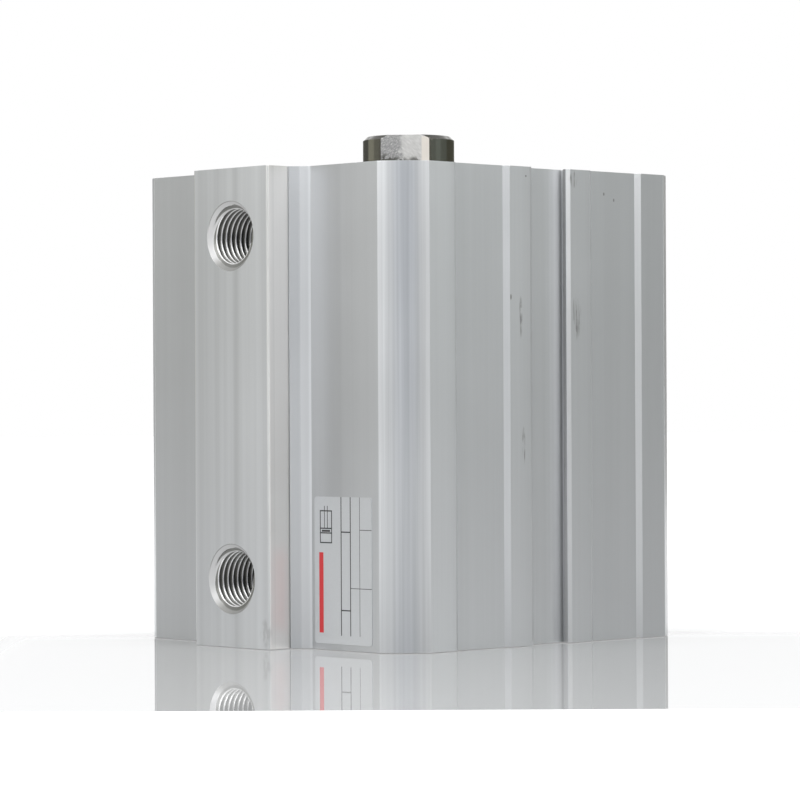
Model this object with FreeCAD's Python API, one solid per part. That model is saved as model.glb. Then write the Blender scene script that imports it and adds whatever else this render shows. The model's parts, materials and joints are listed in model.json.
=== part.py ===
import FreeCAD, Part
import math
import os

from FreeCAD import Vector

# A compact double-acting pneumatic cylinder, standing on its rear face with the rod pointing up.
# The origin is on the rod axis in the plane of the rear face. +Z runs along the rod, out of the front
# end, and the two air ports face -Y. All sizes are millimetres.

# Driving sizes of the cylinder
bore = 63.0
stroke = 50.0
wall = 11.4                  # from the bore to the flat corner lands of the extrusion
rod_diameter = 20.0
rod_standout = 8.9           # rod end above the front face, rod fully in
running_gap = 0.04           # radial play of a sliding fit
seat_gap = 0.02              # radial play of a piece that is pressed in or held still
stop_gap = 0.1               # left between the piston and each bumper at its stop

# Extruded profile: corner pillars, dovetail rails on three sides, port boss on the fourth
bolt_edge = 11.9             # corner hole axis to the side of the extrusion
corner_run = 4.4             # how far each corner land runs on past the corner hole's axis
corner_land = 7.2            # width of that land, measured from the corner's crease
corner_crown = 0.8           # how far each rounded corner stands out from a flat chamfer
panel_recess = 0.85          # depth of the plain panels beside the rails
panel_slope = 1.2            # width of the sloped walls that bound a panel
rail_half = 12.2             # centre of the side to the outer edge of a rail
mouth_half = 6.15            # half width of the dovetail slot at the rail tops
neck_half = 5.2              # half width at its narrowest
lip_depth = 0.4              # from the rail top down to the neck
neck_land = 0.8              # straight wall of the neck
dovetail_depth = 2.7         # from the rail top down to the slot floor
undercut = 1.6               # how far the floor runs on under each lip
boss_half = 11.8             # half width of the port boss
boss_rise = 8.85             # port face above the side of the extrusion
foot_run = 3.45              # sloped foot at each side of the boss
foot_rise = 3.3              # up to the foot's top edge
foot_knee_run = 1.62         # boss wall to the knee between the foot's two slopes
foot_knee_rise = 1.43
foot_notch = 0.35            # small notch between the boss wall and its foot
edge_break = 0.3             # rounding of the profile's outer edges
boss_break = 0.55            # rounding of the port face's long edges

# Corner fixing holes, tapped at both ends and drilled through
bolt_thread = 10.0
bolt_thread_depth = 22.0
bolt_drill = 8.5

# Air ports
port_thread = 13.157
port_thread_depth = 12.0
port_countersink = 0.78      # radial width of the 90 degree countersink
port_passage = 5.0           # drilled on from the port into the bore
passage_overrun = 2.0        # how far that drill runs into the bore
passage_land = 0.2           # from the cover seat to the edge of that passage
drill_point = 59.0           # half of a twist drill's point angle, in degrees

# End covers, with their retaining rings and rubber rings
seat_shoulder = 1.0          # step in the bore that each cover rests on
seat_depth = 11.5            # from the end face to that step
ring_inset = 2.3             # from the end face to the retaining ring groove
ring_thickness = 2.5
ring_groove_play = 0.1
ring_groove_depth = 1.5
ring_width = 5.6             # at the back of the ring, opposite its gap
ring_taper = 0.9             # how far the inside circle is set off towards the gap
ring_gap_half = 7.0          # half the opening between the two lugs
lug_width = 8.0
lug_reach = 9.0              # lug, from the ring's outside edge inwards
lug_hole = 2.5
cover_groove_width = 3.0
cover_groove_depth = 2.0
cover_break = 0.6
mouth_chamfer = 0.8          # lead-in at each end of the bore
nose_length = 2.0            # front cover, on past its seat towards the piston
nose_gap = 3.5               # annular air space around that nose
hub_wall = 5.0               # hub, outside the rod seal's groove
hub_recess = 0.4             # front cover hub below the front face
o_ring_squeeze = 0.02        # left free at each side of a squeezed rubber ring

# Rod guide: bush, seal and wiper, one above the other in the front cover
bush_wall = 1.5
bush_inset = 0.2
guide_web = 0.6              # metal left between two grooves
guide_clear = 0.3            # play of that metal around the rod
rod_seal_wall = 4.0
rod_seal_width = 2.8
wiper_wall = 3.5
wiper_depth = 2.4
wiper_lip = 0.3              # wiper lip above the hub

# Bumpers
bumper_land = 1.5            # metal between the rod bush and the bumper's seat
bumper_width = 9.0
bumper_set = 1.6             # let into the cover
bumper_stand = 1.6           # left proud of it

# Piston, split across its middle
piston_gap = 0.4             # radial play of the piston's lands in the bore
end_land = 4.0
end_land_drop = 1.1          # end lands below the middle lands, for the air to pass
end_chamfer = 0.8
seal_groove_width = 3.4
seal_groove_depth = 4.8
middle_land = 0.6
wear_groove_width = 5.6
wear_groove_depth = 2.5
wear_slit = 2.0
ring_side_play = 0.1         # axial play of a seal, band or magnet at each side
seal_lip_gap = 0.08
seal_lip = 0.9               # thickness of a seal's two lips
seal_heel_relief = 0.25      # how far a seal's heel stands back from its lips
seal_lip_lead = 0.3          # slope at the tip of each lip
seal_heel = 1.4              # from a seal's heel to the root between its lips
magnet_wall = 4.5
magnet_cover = 2.5           # metal between the magnet and the wear band groove
magnet_set = 2.4             # pocket depth in each half of the piston

# Rod, and the screw that clamps the piston to it
rod_chamfer = 0.8
flat_depth = 1.5             # wrench flats, cut into the rod's side
flat_length = 6.5
flat_turn = 41.0             # direction of the front flat, in degrees round from -Y towards +X
rod_thread = 10.0
rod_thread_depth = 20.0
rod_seat = 3.0               # rod let into the piston's front
spigot_diameter = 14.0
spigot_past = 1.8            # spigot below the piston's split
spigot_gap = 0.1             # left under the spigot, so that the screw clamps the piston
spigot_ring_width = 2.2
spigot_ring_depth = 1.45
clamp_web = 2.5              # metal under the screw head
screw_head_diameter = 16.0
screw_head_height = 5.6
screw_head_play = 1.0
screw_length = 20.0
screw_socket = 6.0
screw_socket_depth = 3.2
screw_thread_play = 0.1

# Rating label
label_height = 30.3
label_lift = 1.2             # above the rear face
label_inner_margin = 0.9     # from the boss foot
label_outer_margin = 2.0     # from the corner's crease
label_thickness = 0.12
label_corner = 0.7

# Places that follow from the sizes above
side = bore / 2 + wall
bolt_at = side - bolt_edge
crease = bolt_at + corner_run
port_face = side + boss_rise
seat_radius = bore / 2 + seat_shoulder
groove_radius = seat_radius + ring_groove_depth
cover_face = ring_inset + ring_thickness
port_inset = seat_depth + passage_land + port_passage / 2
half_piston = end_land + seal_groove_width + middle_land + wear_groove_width / 2
piston_rear = seat_depth + bumper_stand + stop_gap
split = piston_rear + half_piston
piston_front = split + half_piston
nose_face = piston_front + stroke + stop_gap + bumper_stand
front_seat = nose_face + nose_length
body_length = front_seat + seat_depth
hub_top = body_length - hub_recess
rod_end = body_length + rod_standout
rod_radius = rod_diameter / 2
bumper_inner = rod_radius + bush_wall + bumper_land
bumper_outer = bumper_inner + bumper_width
rod_shoulder = piston_front - rod_seat
spigot_end = split - spigot_past
screw_seat = spigot_end - spigot_gap - clamp_web

AXIS = Vector(0, 0, 1)
ORIGIN = Vector(0, 0, 0)


def turned(outline):
    """A solid turned about the rod axis from a closed outline of (radius, height) points."""
    corners = [Vector(radius, 0, height) for radius, height in outline]
    return Part.Face(Part.makePolygon(corners + corners[:1])).revolve(ORIGIN, AXIS, 360)


def drum(radius, bottom, top):
    """A plain cylinder on the rod axis."""
    return Part.makeCylinder(radius, top - bottom, Vector(0, 0, bottom))


def line(start, end):
    """A straight edge."""
    return Part.LineSegment(start, end).toShape()


def rounded_path(points):
    """Edges of an open path through (x, y, rounding) points, with each inner corner rounded."""
    places = [Vector(x, y, 0) for x, y, rounding in points]
    edges, start = [], places[0]
    for index in range(1, len(points) - 1):
        corner, rounding = places[index], points[index][2]
        back = (places[index - 1] - corner).normalize()
        ahead = (places[index + 1] - corner).normalize()
        if rounding == 0:
            edges.append(line(start, corner))
            start = corner
            continue
        half_angle = back.getAngle(ahead) / 2
        setback = rounding / math.tan(half_angle)
        inward = (back + ahead).normalize()
        middle = corner + inward * (rounding / math.sin(half_angle) - rounding)
        enter, leave = corner + back * setback, corner + ahead * setback
        edges += [line(start, enter), Part.Arc(enter, middle, leave).toShape()]
        start = leave
    edges.append(line(start, places[-1]))
    return edges


def mirrored(half_points):
    """A symmetric path from its left half: (along, out, rounding) points up to the centre line."""
    return half_points + [(-along, out, rounding) for along, out, rounding in reversed(half_points)]


def rail_side():
    """One plain side: corner land, recessed panel, and a rail beside the dovetail slot."""
    land_end = crease - corner_land
    return mirrored([
        (-crease, side, 0),
        (-land_end, side, edge_break),
        (-land_end + panel_slope, side - panel_recess, 0),
        (-rail_half - panel_slope, side - panel_recess, 0),
        (-rail_half, side, edge_break),
        (-mouth_half, side, edge_break),
        (-neck_half, side - lip_depth, edge_break / 2),
        (-neck_half, side - lip_depth - neck_land, edge_break / 2),
        (-neck_half - undercut, side - dovetail_depth, edge_break),
    ])


def port_side():
    """The port side: flat label panels, and the port boss on its sloped feet."""
    foot_top = side + foot_rise
    return mirrored([
        (-crease, side, 0),
        (-boss_half - foot_run, side, 0),
        (-boss_half - foot_knee_run, side + foot_knee_rise, 0),
        (-boss_half - foot_notch, foot_top, 0),
        (-boss_half, foot_top - foot_notch, 0),
        (-boss_half, port_face, boss_break),
    ])


def profile_face():
    """The cross-section of the extrusion, without its holes."""
    edges = []
    crown_at = (crease + side) / 2 + corner_crown * math.sqrt(0.5)
    for turn, points in enumerate((port_side(), rail_side(), rail_side(), rail_side())):
        path = rounded_path([(along, -out, rounding) for along, out, rounding in points])
        path.append(Part.Arc(Vector(crease, -side, 0), Vector(crown_at, -crown_at, 0),
                             Vector(side, -crease, 0)).toShape())
        for edge in path:
            edge.rotate(ORIGIN, AXIS, 90 * turn)
        edges += path
    return Part.Face(Part.Wire(edges))


def corner_holes():
    """Cutters for the four corner holes: tapped from both ends, and drilled through."""
    tap, drill = bolt_thread / 2, bolt_drill / 2
    cone = (tap - drill) / math.tan(math.radians(drill_point))
    low, high = bolt_thread_depth, body_length - bolt_thread_depth
    hole = turned([
        (0, 0), (tap, 0), (tap, low), (drill, low + cone),
        (drill, high - cone), (tap, high), (tap, body_length), (0, body_length),
    ])
    places = [(x, y) for x in (-bolt_at, bolt_at) for y in (-bolt_at, bolt_at)]
    return [hole.translated(Vector(x, y, 0)) for x, y in places]


def port_holes():
    """Cutters for the two ports: countersink, thread bore, drill point and passage into the bore."""
    thread, passage = port_thread / 2, port_passage / 2
    cone = (thread - passage) / math.tan(math.radians(drill_point))
    reach = port_face - bore / 2 + passage_overrun
    hole = turned([
        (0, 0), (thread + port_countersink, 0), (thread, port_countersink), (thread, port_thread_depth),
        (passage, port_thread_depth + cone), (passage, reach), (0, reach),
    ])
    hole.rotate(ORIGIN, Vector(1, 0, 0), -90)
    heights = (port_inset, body_length - port_inset)
    return [hole.translated(Vector(0, -port_face, height)) for height in heights]


def bore_hollow():
    """The cutter for the bore, its stepped cover seats and the two retaining ring grooves."""
    groove_end = cover_face + ring_groove_play
    lower = [
        (seat_radius + mouth_chamfer, 0), (seat_radius, mouth_chamfer), (seat_radius, ring_inset),
        (groove_radius, ring_inset), (groove_radius, groove_end), (seat_radius, groove_end),
        (seat_radius, seat_depth), (bore / 2, seat_depth),
    ]
    upper = [(radius, body_length - height) for radius, height in reversed(lower)]
    return turned([(0, 0)] + lower + upper + [(0, body_length)])


def barrel():
    """The extruded body, bored, tapped and drilled."""
    blank = profile_face().extrude(Vector(0, 0, body_length))
    return blank.cut([bore_hollow()] + corner_holes() + port_holes())


def cover_rim(bottom, top):
    """Outside of a cover between two heights: broken edges and a groove for its rubber ring."""
    rim = seat_radius - seat_gap
    middle = (bottom + top) / 2
    low, high = middle - cover_groove_width / 2, middle + cover_groove_width / 2
    root = seat_radius - cover_groove_depth
    return [(rim - cover_break, bottom), (rim, bottom + cover_break), (rim, low), (root, low),
            (root, high), (rim, high), (rim, top - cover_break), (rim - cover_break, top)]


def rear_cover():
    """The plain cover at the rear, with a seat for its bumper."""
    seat = seat_depth - bumper_set
    inner, outer = bumper_inner - seat_gap, bumper_outer + seat_gap
    return turned([(0, cover_face)] + cover_rim(cover_face, seat_depth) + [
        (outer, seat_depth), (outer, seat), (inner, seat), (inner, seat_depth), (0, seat_depth)])


def guide_heights():
    """Heights of the rod guide's steps in the front cover, from the bush up to the hub."""
    wiper_floor = hub_top - wiper_depth
    seal_top = wiper_floor - guide_web
    seal_floor = seal_top - rod_seal_width
    bush_top = seal_floor - guide_web
    return nose_face + bush_inset, bush_top, seal_floor, seal_top, wiper_floor


def front_cover():
    """The rod-side cover: flange on its seat, nose towards the piston, hub around the rod."""
    bush_top, seal_floor, seal_top, wiper_floor = guide_heights()[1:]
    flange_top = body_length - cover_face
    nose = bore / 2 - nose_gap
    guide = rod_radius + guide_clear
    bush_seat = rod_radius + bush_wall
    seal_seat = rod_radius + rod_seal_wall
    wiper_seat = rod_radius + wiper_wall
    hub = seal_seat + hub_wall
    seat = nose_face + bumper_set
    inner, outer = bumper_inner - seat_gap, bumper_outer + seat_gap
    return turned([
        (bush_seat, nose_face), (inner, nose_face), (inner, seat), (outer, seat), (outer, nose_face),
        (nose, nose_face), (nose, front_seat)] + cover_rim(front_seat, flange_top) + [
        (hub, flange_top), (hub, hub_top - cover_break), (hub - cover_break, hub_top),
        (wiper_seat, hub_top), (wiper_seat, wiper_floor), (guide, wiper_floor), (guide, seal_top),
        (seal_seat, seal_top), (seal_seat, seal_floor), (guide, seal_floor), (guide, bush_top),
        (bush_seat, bush_top)])


def retaining_ring():
    """A spring steel ring for a bore, lying at the rear cover: tapered, with two drilled lugs."""
    outer = groove_radius - ring_groove_play
    inner = outer - ring_width + ring_taper
    bottom = cover_face - ring_thickness + ring_groove_play / 2
    height = cover_face - bottom
    base = Vector(0, 0, bottom)
    disc = Part.makeCylinder(outer, height, base)
    band = disc.cut(Part.makeCylinder(inner, height, base + Vector(0, ring_taper, 0)))
    half_lug = lug_width / 2
    eye_out = outer - lug_reach + half_lug
    lug_root = math.sqrt(outer ** 2 - (ring_gap_half + lug_width) ** 2)
    lugs = []
    cuts = [Part.makeBox(2 * ring_gap_half, outer, height, Vector(-ring_gap_half, 0, bottom))]
    for mirror in (-1, 1):
        eye = Vector(mirror * (ring_gap_half + half_lug), eye_out, bottom)
        lugs.append(Part.makeCylinder(half_lug, height, eye))
        lugs.append(Part.makeBox(lug_width, lug_root - eye_out, height, eye - Vector(half_lug, 0, 0)))
        cuts.append(Part.makeCylinder(lug_hole / 2, height, eye))
    return band.fuse(lugs).common(disc).cut(cuts).removeSplitter()


def at_front(piece):
    """A rear-end piece, turned over to lie at the front end."""
    turned_over = piece.copy()
    turned_over.rotate(Vector(0, 0, body_length / 2), Vector(0, 1, 0), 180)
    return turned_over


def rubber_ring(inner, outer, middle, width):
    """A squeezed rubber ring: pressed flat on its four sides, its section's corners sloped off."""
    near, far = inner + o_ring_squeeze, outer - o_ring_squeeze
    low, high = middle - width / 2 + o_ring_squeeze, middle + width / 2 - o_ring_squeeze
    corner = min(far - near, high - low) / (2 + math.sqrt(2))
    return turned([
        (near + corner, low), (far - corner, low), (far, low + corner), (far, high - corner),
        (far - corner, high), (near + corner, high), (near, high - corner), (near, low + corner),
    ])


def rear_cover_o_ring():
    """The rubber ring around the rear cover."""
    return rubber_ring(seat_radius - cover_groove_depth, seat_radius, (cover_face + seat_depth) / 2,
                       cover_groove_width)


def lip_seal(inner, outer, floor, width, facing):
    """A lip seal between two radii, heel at the floor; facing 1 opens its lips upwards, -1 downwards."""
    heel_inner, heel_outer = inner + seal_heel_relief, outer - seal_heel_relief
    tip = width - seal_lip_lead
    section = [
        (heel_inner, 0), (heel_outer, 0), (heel_outer, seal_heel), (outer, tip), (outer - seal_lip, width),
        (heel_outer - seal_lip, seal_heel), (heel_inner + seal_lip, seal_heel), (inner + seal_lip, width),
        (inner, tip), (heel_inner, seal_heel),
    ]
    return turned([(radius, floor + facing * height) for radius, height in section])


def rod_seal():
    """The seal on the rod, its lips facing the air space."""
    seal_floor, seal_top = guide_heights()[2:4]
    return lip_seal(rod_radius + seal_lip_gap, rod_radius + rod_seal_wall - seat_gap,
                    seal_top - ring_side_play, seal_top - seal_floor - 2 * ring_side_play, -1)


def rod_wiper():
    """The wiper pressed into the hub, its lip rising against the rod."""
    floor = guide_heights()[4]
    outer = rod_radius + wiper_wall - seat_gap
    contact = rod_radius + seal_lip_gap
    heel = rod_radius + guide_clear
    groove = (heel + outer) / 2
    return turned([(heel, floor), (outer, floor), (outer, hub_top), (groove + wiper_lip, hub_top),
                   (groove, floor + wiper_depth / 2), (contact + wiper_lip, hub_top + wiper_lip),
                   (contact, hub_top + wiper_lip / 2), (heel, hub_top - wiper_depth / 2)])


def rod_bush():
    """The bearing bush that guides the rod."""
    floor, top = guide_heights()[:2]
    inner, outer = rod_radius + running_gap, rod_radius + bush_wall - seat_gap
    lead = bush_wall / 4
    return turned([(inner + lead, floor), (outer, floor), (outer, top), (inner + lead, top),
                   (inner, top - lead), (inner, floor + lead)])


def bumper(floor, top):
    """A rubber stop ring between two heights, with both edges sloped on the piston's side."""
    slope = bumper_stand / 2
    lead = math.copysign(slope, top - floor)
    return turned([(bumper_inner, floor), (bumper_outer, floor), (bumper_outer, top - lead),
                   (bumper_outer - slope, top), (bumper_inner + slope, top), (bumper_inner, top - lead)])


def half_outside():
    """Outside of one piston half, from the split outwards: (radius, distance from the split)."""
    land = bore / 2 - piston_gap
    wear = wear_groove_width / 2
    seal_start = wear + middle_land
    seal_end = seal_start + seal_groove_width
    end = land - end_land_drop
    wear_root, seal_root = land - wear_groove_depth, land - seal_groove_depth
    return [(wear_root, 0), (wear_root, wear), (land, wear), (land, seal_start), (seal_root, seal_start),
            (seal_root, seal_end), (end, seal_end), (end, half_piston - end_chamfer),
            (end - end_chamfer, half_piston)]


def magnet_radii():
    """Inside and outside radius of the magnet's pocket in the piston."""
    outer = bore / 2 - piston_gap - wear_groove_depth - magnet_cover
    return outer - magnet_wall, outer


def piston_front_half():
    """The front half of the piston: rod seat, spigot bore with a ring groove, half of the magnet pocket."""
    pocket_inner, pocket_outer = magnet_radii()
    spigot = spigot_diameter / 2 + seat_gap
    rod_hole = rod_radius + seat_gap
    shoulder = half_piston - rod_seat
    ring_low = (shoulder - spigot_ring_width) / 2
    ring_high = ring_low + spigot_ring_width
    ring_root = spigot_diameter / 2 + spigot_ring_depth
    inside = [(rod_hole, half_piston), (rod_hole, shoulder), (spigot, shoulder), (spigot, ring_high),
              (ring_root, ring_high), (ring_root, ring_low), (spigot, ring_low), (spigot, 0),
              (pocket_inner, 0), (pocket_inner, magnet_set), (pocket_outer, magnet_set), (pocket_outer, 0)]
    return turned([(radius, split + height) for radius, height in half_outside() + inside])


def piston_rear_half():
    """The rear half of the piston: screw head pocket, clamp web, half of the magnet pocket."""
    pocket_inner, pocket_outer = magnet_radii()
    spigot = spigot_diameter / 2 + seat_gap
    head = screw_head_diameter / 2 + screw_head_play
    hole = rod_thread / 2 + 2 * screw_thread_play
    inside = [(head, half_piston), (head, split - screw_seat), (hole, split - screw_seat),
              (hole, split - screw_seat - clamp_web), (spigot, split - screw_seat - clamp_web), (spigot, 0),
              (pocket_inner, 0), (pocket_inner, magnet_set), (pocket_outer, magnet_set), (pocket_outer, 0)]
    return turned([(radius, split - height) for radius, height in half_outside() + inside])


def magnet_ring():
    """The ring magnet that the two piston halves clamp between them."""
    inner, outer = magnet_radii()
    half = magnet_set - ring_side_play
    return drum(outer - seat_gap, split - half, split + half).cut(
        drum(inner + seat_gap, split - half, split + half))


def wear_ring():
    """The guide band around the piston's middle, with its slanted slit."""
    inner = bore / 2 - piston_gap - wear_groove_depth + ring_side_play
    outer = bore / 2 - running_gap
    half = wear_groove_width / 2 - ring_side_play
    band = drum(outer, split - half, split + half).cut(drum(inner, split - half, split + half))
    slit = Part.makeBox(wear_slit, 2 * wear_groove_depth, 6 * half,
                        Vector(-wear_slit / 2, outer - 1.5 * wear_groove_depth, split - 3 * half))
    slit.rotate(Vector(0, outer, split), Vector(0, 1, 0), 45)
    return band.cut(slit)


def piston_seal(facing):
    """One piston seal in its groove, its lips facing the nearer end of the cylinder."""
    land = bore / 2 - piston_gap
    floor = split + facing * (wear_groove_width / 2 + middle_land + ring_side_play)
    return lip_seal(land - seal_groove_depth + ring_side_play, bore / 2 - seal_lip_gap, floor,
                    seal_groove_width - 2 * ring_side_play, facing)


def piston_o_ring():
    """The rubber ring that seals the piston to the rod's spigot."""
    shoulder = split + half_piston - rod_seat
    return rubber_ring(spigot_diameter / 2, spigot_diameter / 2 + spigot_ring_depth, (split + shoulder) / 2,
                       spigot_ring_width)


def rod_flats():
    """Cutters for the two wrench flats at the rod end."""
    front = Part.makeBox(rod_diameter, flat_depth, flat_length,
                         Vector(-rod_radius, -rod_radius, rod_end - flat_length))
    back = front.copy()
    back.rotate(ORIGIN, AXIS, 180)
    for flat in (front, back):
        flat.rotate(ORIGIN, AXIS, flat_turn)
    return [front, back]


def piston_rod():
    """The rod: chamfered end with a thread bore and wrench flats, spigot and thread bore for the piston."""
    thread = rod_thread / 2
    cone = thread / math.tan(math.radians(drill_point))
    spigot = spigot_diameter / 2
    top_floor = rod_end - rod_thread_depth
    low_roof = spigot_end + rod_thread_depth
    lead = rod_chamfer / 2
    shaft = turned([
        (0, low_roof + cone), (thread, low_roof), (thread, spigot_end), (spigot - lead, spigot_end),
        (spigot, spigot_end + lead), (spigot, rod_shoulder), (rod_radius, rod_shoulder),
        (rod_radius, rod_end - rod_chamfer), (rod_radius - rod_chamfer, rod_end),
        (thread + rod_chamfer, rod_end), (thread, rod_end - rod_chamfer), (thread, top_floor),
        (0, top_floor - cone)])
    return shaft.cut(rod_flats())


def piston_screw():
    """The socket screw that clamps the two piston halves to the rod."""
    head, shank = screw_head_diameter / 2, rod_thread / 2 - screw_thread_play
    bottom = screw_seat - screw_head_height
    tip = screw_seat + screw_length
    lead = rod_chamfer
    body = turned([(0, bottom), (head - lead, bottom), (head, bottom + lead), (head, screw_seat),
                   (shank, screw_seat), (shank, tip - lead), (shank - lead, tip), (0, tip)])
    reach = screw_socket / math.sqrt(3)
    turns = [math.radians(60 * step) for step in range(7)]
    corners = [Vector(reach * math.cos(turn), reach * math.sin(turn), bottom) for turn in turns]
    socket = Part.Face(Part.makePolygon(corners)).extrude(Vector(0, 0, screw_socket_depth))
    return body.cut(socket)


def rating_label():
    """The blank foil label on the flat panel beside the port boss."""
    left, right = boss_half + foot_run + label_inner_margin, crease - label_outer_margin
    bottom, top = label_lift, label_lift + label_height
    corners = [(left, bottom), (right, bottom), (right, top), (left, top)]
    middle = ((left + right) / 2, bottom, 0)
    path = [middle] + [(x, z, label_corner) for x, z in corners[1:] + corners[:1]] + [middle]
    sheet = Part.Face(Part.Wire(rounded_path(path))).extrude(Vector(0, 0, label_thickness))
    sheet.rotate(ORIGIN, Vector(1, 0, 0), 90)
    return sheet.translated(Vector(0, -side, 0))


def main():
    """Builds every piece and writes one STEP file for each."""
    rear_ring = retaining_ring()
    rear_o_ring = rear_cover_o_ring()
    pieces = {
        "barrel": barrel(),
        "front_cover": front_cover(),
        "rear_cover": rear_cover(),
        "front_retaining_ring": at_front(rear_ring),
        "rear_retaining_ring": rear_ring,
        "front_cover_o_ring": at_front(rear_o_ring),
        "rear_cover_o_ring": rear_o_ring,
        "rod_bush": rod_bush(),
        "rod_seal": rod_seal(),
        "rod_wiper": rod_wiper(),
        "front_bumper": bumper(nose_face + bumper_set, nose_face - bumper_stand),
        "rear_bumper": bumper(seat_depth - bumper_set, seat_depth + bumper_stand),
        "rating_label": rating_label(),
        "piston_rod": piston_rod(),
        "piston_front_half": piston_front_half(),
        "piston_rear_half": piston_rear_half(),
        "magnet_ring": magnet_ring(),
        "wear_ring": wear_ring(),
        "front_piston_seal": piston_seal(1),
        "rear_piston_seal": piston_seal(-1),
        "piston_o_ring": piston_o_ring(),
        "piston_screw": piston_screw(),
    }
    os.makedirs("parts", exist_ok=True)
    for name, shape in pieces.items():
        shape.exportStep(f"parts/{name}.step")
        print(f"{name}: {len(shape.Solids)} solid, valid {shape.isValid()}, {shape.Volume / 1000:.2f} cm3")
    print(f"body {2 * side:.2f} wide and {body_length:.2f} long, rod end at {rod_end:.2f}")


main()
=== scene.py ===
# %% [markdown]
# # A compact pneumatic cylinder in studio light
#
# This lesson dresses a finished set of solids: an extruded aluminium body, a piston rod with wrench flats,
# end covers, seals and rings. The solids arrive as a fixed frame, in place and at their real size, so
# nothing here moves or resizes them. Blender's part is the finish of every surface, the screw threads, the
# light and the camera.

# %% Load the solids
import json
import math
from collections import namedtuple

import bmesh
import bpy
from mathutils import Matrix, Vector


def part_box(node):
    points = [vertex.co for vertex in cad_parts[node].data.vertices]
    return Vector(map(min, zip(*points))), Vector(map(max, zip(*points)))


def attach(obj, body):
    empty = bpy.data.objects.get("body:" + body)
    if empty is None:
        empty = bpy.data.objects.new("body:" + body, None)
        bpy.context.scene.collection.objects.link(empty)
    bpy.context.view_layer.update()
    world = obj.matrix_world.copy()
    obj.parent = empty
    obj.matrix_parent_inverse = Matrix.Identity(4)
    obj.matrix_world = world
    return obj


MM = 0.001
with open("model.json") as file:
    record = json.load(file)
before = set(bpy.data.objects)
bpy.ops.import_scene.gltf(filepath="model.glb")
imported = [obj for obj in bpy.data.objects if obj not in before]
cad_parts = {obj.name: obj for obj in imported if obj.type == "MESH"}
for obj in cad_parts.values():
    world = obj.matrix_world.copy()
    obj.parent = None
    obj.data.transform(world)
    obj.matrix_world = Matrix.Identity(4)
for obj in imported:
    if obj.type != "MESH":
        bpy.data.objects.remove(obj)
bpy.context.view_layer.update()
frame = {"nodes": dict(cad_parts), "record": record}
solids = frame["nodes"]
record = frame["record"]

# %% [markdown]
# ## Camera
#
# The picture was taken level with the middle of the body, from in front of the corner between the port side
# and the right side. A long lens keeps the upright edges almost parallel. The camera could be aimed by eye,
# but a fit of the body's known edges to the picture gives its place, its focal length in pixels and a roll
# of a quarter of a degree, so those numbers are used as they are.

# %% Place the camera
camera_place = Vector((0.5516, -0.5296, 0.0503))
camera_yaw = math.radians(46.326)
camera_roll = -0.0048
focal_pixels = 3492.1
picture_pixels = 800
horizon_row = 405.24
nearest_seen = 0.01

scene = bpy.context.scene
camera = bpy.data.objects.new("camera", bpy.data.cameras.new("camera"))
scene.collection.objects.link(camera)
scene.camera = camera
camera.data.sensor_width = 36
camera.data.lens = camera.data.sensor_width * focal_pixels / picture_pixels
camera.data.shift_y = (horizon_row - picture_pixels / 2) / picture_pixels
camera.data.clip_start = nearest_seen
upright = Matrix.Rotation(math.radians(90), 4, "X")
aim = Matrix.Rotation(camera_yaw, 4, "Z") @ upright @ Matrix.Rotation(camera_roll, 4, "Z")
camera.matrix_world = Matrix.Translation(camera_place) @ aim
print("lens", round(camera.data.lens, 2), "mm, distance", round(camera_place.length, 3), "m")

# %% [markdown]
# ## Short hands for shader nodes
#
# Materials are trees of nodes. Clicking them together is fine for one material, but a dozen finishes share
# the same few steps, so these helpers add a node, feed its sockets and hand back its result. A value that
# is itself a socket becomes a link, and anything else becomes the socket's own number or colour.

# %% Helpers that add and link nodes
def feed(tree, socket, value):
    """Links a socket to another one, or sets its own value."""
    if isinstance(value, bpy.types.NodeSocket):
        tree.links.new(value, socket)
    else:
        socket.default_value = value


def place(tree, kind, inputs=None, **settings):
    """Adds one shader node and feeds its inputs."""
    node = tree.nodes.new("ShaderNode" + kind)
    for name, value in settings.items():
        setattr(node, name, value)
    for name, value in (inputs or {}).items():
        feed(tree, node.inputs[name], value)
    return node


def new_finish(name, plain):
    """A material whose shader's plain sockets are set, with its tree and its shader."""
    finish = bpy.data.materials.new(name)
    finish.use_nodes = True
    shader = finish.node_tree.nodes["Principled BSDF"]
    for label, value in plain.items():
        shader.inputs[label].default_value = value
    return finish, finish.node_tree, shader


print("node helpers ready")

# %% [markdown]
# Most effects start as masks: values from 0 to 1 that say where something is. A smooth step turns a measure
# into a mask, a product keeps what lies in all of several masks, and the highest keeps what lies in any of
# them. A Color Ramp node could step too, but Map Range takes its limits in metres and may be fed by other
# nodes.

# %% Helpers for masks
def reckon(tree, operation, *values):
    """The result of a Math node."""
    return place(tree, "Math", dict(enumerate(values)), operation=operation).outputs[0]


def ramp(tree, value, low, high, start=0.0, end=1.0):
    """A smooth step from start, where value is low, to end, where it is high."""
    inputs = {"Value": value, "From Min": low, "From Max": high, "To Min": start, "To Max": end}
    return place(tree, "MapRange", inputs, interpolation_type="SMOOTHSTEP").outputs["Result"]


def by_mask(tree, mask, outside, inside):
    """A value that passes smoothly from outside, where the mask is 0, to inside, where it is 1."""
    return ramp(tree, mask, 0.0, 1.0, outside, inside)


def product(tree, value, *factors):
    """Several values, multiplied."""
    for factor in factors:
        value = reckon(tree, "MULTIPLY", value, factor)
    return value


def any_of(tree, mask, *others):
    """The highest of several masks."""
    for other in others:
        mask = reckon(tree, "MAXIMUM", mask, other)
    return mask


print("mask helpers ready")

# %% [markdown]
# Colours are mixed by such masks. Most surfaces of the cylinder are greys, so a grey is given by its level
# alone, and a share of blue for the cooler ones. Levels are linear light, as shaders count it: 0.2 already
# looks like a middle grey.

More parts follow.
